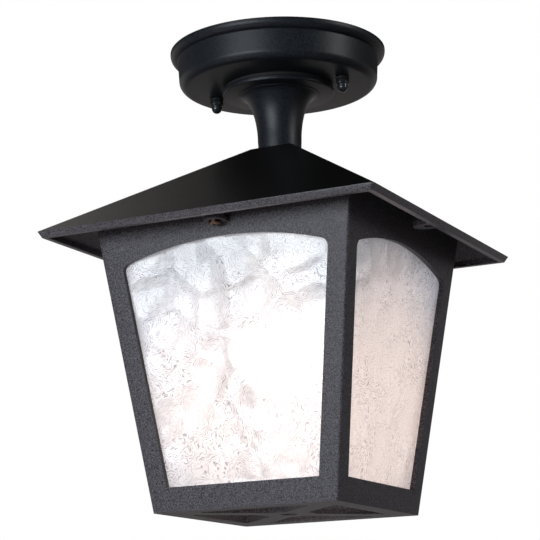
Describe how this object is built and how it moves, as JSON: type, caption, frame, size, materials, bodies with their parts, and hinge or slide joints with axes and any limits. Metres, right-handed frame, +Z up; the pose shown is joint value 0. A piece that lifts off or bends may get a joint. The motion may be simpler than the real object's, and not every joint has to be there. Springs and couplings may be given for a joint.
{
  "type": "porch_ceiling_lantern",
  "caption": "Outdoor ceiling lantern: tapered square cage with arched textured panes under a pyramid roof, hung by a trumpet stem from a round canopy",
  "frame": {"origin": "centre of the canopy's mounting face, on the ceiling", "axes": "+Z up into the ceiling, -Y towards the lantern's front, +X to its right; the lantern hangs along -Z"},
  "size_m": [0.21, 0.21, 0.2801],
  "materials": {
    "grey_coat": "fine-textured charcoal powder coat on cast aluminium",
    "black_coat": "satin near-black powder coat",
    "black_nut": "blackened brass cap nut",
    "bronze_screw": "bronzed steel",
    "zinc_steel": "zinc-plated",
    "bulb_metal": "thin rolled aluminium",
    "brass": "bright",
    "black_rubber": "matt",
    "white_plastic": "matt",
    "black_plastic": "vitrite, glossy",
    "cream_plastic": "moulded, slightly glossy",
    "ceramic": "unglazed",
    "brown_lead": "insulated wire",
    "blue_lead": "insulated wire",
    "green_lead": "insulated wire",
    "textured_glass": "clear hammered glass",
    "clear_glass": "clear",
    "opal_glass": "opal coating inside"
  },
  "bodies": {
    "fixture": {"ceiling_bracket": "zinc_steel", "bracket_studs": "zinc_steel", "stud_locknuts": "zinc_steel", "earth_screw": "brass", "terminal_block": "white_plastic", "terminal_screws": "zinc_steel", "lead_live": "brown_lead", "lead_neutral": "blue_lead", "lead_earth": "green_lead", "sealing_cord": "black_rubber", "canopy": "black_coat", "left_nut_washer": "black_rubber", "right_nut_washer": "black_rubber", "canopy_seal": "black_rubber", "stem": "black_coat", "stem_seal": "black_rubber", "hollow_rod": "brass", "rod_washers": "zinc_steel", "rod_nuts": "brass", "roof": "grey_coat", "holder_cap": "cream_plastic", "holder_clamps": "brass", "holder_insert": "ceramic", "holder_thread": "brass", "holder_contact": "brass", "holder_shell": "cream_plastic"},
    "left_nut": {"left_cap_nut": "black_nut"},
    "right_nut": {"right_cap_nut": "black_nut"},
    "bulb_tip": {"bulb_contact": "zinc_steel"},
    "bulb": {"bulb_insulator": "black_plastic", "bulb_cap": "bulb_metal", "bulb_glass": "opal_glass", "bulb_mount": "clear_glass", "bulb_filament": "zinc_steel"},
    "cage": {"cage": "grey_coat", "front_pane": "textured_glass", "right_pane": "textured_glass", "back_pane": "textured_glass", "left_pane": "textured_glass", "pane_clips": "zinc_steel", "clip_screws": "zinc_steel"},
    "front_screw": {"front_screw": "bronze_screw"},
    "back_screw": {"back_screw": "bronze_screw"}
  },
  "joints": [
    {"name": "cage_drop", "type": "slide", "parent": "fixture", "child": "cage", "axis": [0, 0, -1], "range_m": [0, 0.12]},
    {"name": "front_screw_turn", "type": "hinge", "parent": "cage", "child": "front_screw", "pos_m": [0, -0.08515, -0.1231], "axis": [0, 0, -1], "range_deg": [0, 2340]},
    {"name": "back_screw_turn", "type": "hinge", "parent": "cage", "child": "back_screw", "pos_m": [0, 0.08515, -0.1231], "axis": [0, 0, -1], "range_deg": [0, 2340]},
    {"name": "bulb_drop", "type": "slide", "parent": "fixture", "child": "bulb_tip", "axis": [0, 0, -1], "range_m": [0, 0.02]},
    {"name": "bulb_turn", "type": "hinge", "parent": "bulb_tip", "child": "bulb", "pos_m": [0, 0, -0.13], "axis": [0, 0, -1], "range_deg": [0, 1964]},
    {"name": "left_nut_turn", "type": "hinge", "parent": "fixture", "child": "left_nut", "pos_m": [-0.0425, 0, -0.0278], "axis": [0, 0, -1], "range_deg": [0, 2851]},
    {"name": "right_nut_turn", "type": "hinge", "parent": "fixture", "child": "right_nut", "pos_m": [0.0425, 0, -0.0278], "axis": [0, 0, -1], "range_deg": [0, 2851]}
  ],
  "couplings": [
    {"joint": "bulb_drop", "follows": "bulb_turn", "m_per_rad": 0.00057757}
  ]
}
